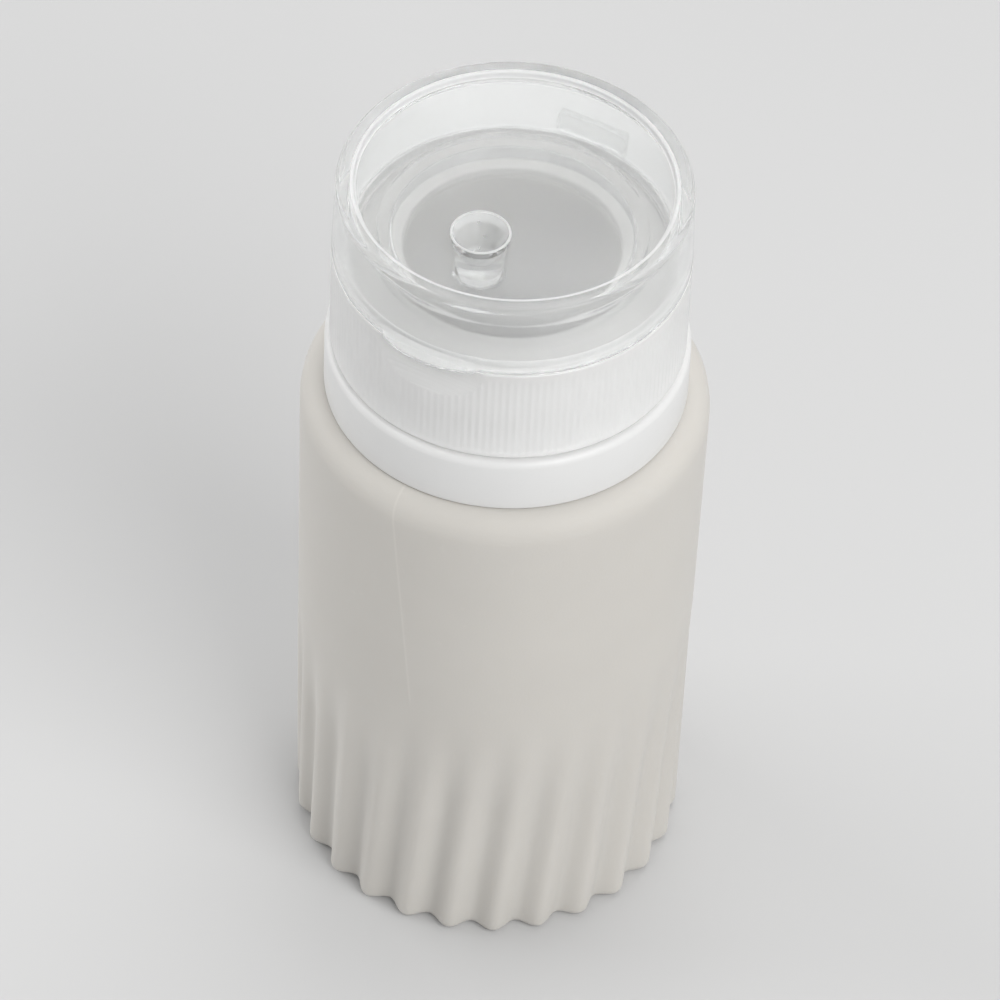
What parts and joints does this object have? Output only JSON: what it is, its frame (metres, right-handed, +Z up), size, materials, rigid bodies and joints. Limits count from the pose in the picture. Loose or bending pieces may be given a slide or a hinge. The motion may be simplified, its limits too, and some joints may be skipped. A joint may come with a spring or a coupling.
{
  "type": "travel silicone bottle",
  "caption": "Squeezable silicone travel bottle with a fluted lower wall, a white neck ring, a milky screw cap and a clear flip lid whose plug pin stops the orifice.",
  "frame": {"origin": "middle of the bottle's base, on the surface that it stands on", "axes": "+Z up along the bottle's axis; -Y towards the lid's thumb lip, +Y towards its hinge"},
  "size_m": [0.0418, 0.0418, 0.0918],
  "materials": {
    "silicone": "matt, slightly translucent light warm grey silicone",
    "white_plastic": "satin white moulded plastic",
    "soft_seal": "soft translucent white washer",
    "milky_plastic": "milky translucent moulded plastic with fine grip ribs",
    "clear_plastic": "clear, faintly milky moulded plastic"
  },
  "bodies": {
    "bottle": {"bottle_body": "silicone", "neck_ring": "white_plastic"},
    "seal": {"seal_washer": "soft_seal"},
    "cap": {"screw_cap": "milky_plastic", "hinge_strap": "clear_plastic"},
    "lid": {"flip_lid": "clear_plastic"}
  },
  "joints": [
    {"name": "cap_rise", "type": "slide", "parent": "bottle", "child": "seal", "axis": [0, 0, 1], "range_m": [0, 0.00375]},
    {"name": "cap_turn", "type": "hinge", "parent": "seal", "child": "cap", "pos_m": [0, 0, 0.075], "axis": [0, 0, 1], "range_deg": [0, 450]},
    {"name": "lid_flip", "type": "hinge", "parent": "cap", "child": "lid", "pos_m": [0, 0.01858, 0.08307], "axis": [-1, 0, 0], "range_deg": [0, 170], "deforming": ["hinge_strap"]}
  ],
  "couplings": [
    {"joint": "cap_rise", "follows": "cap_turn", "m_per_rad": 0.00047746}
  ]
}
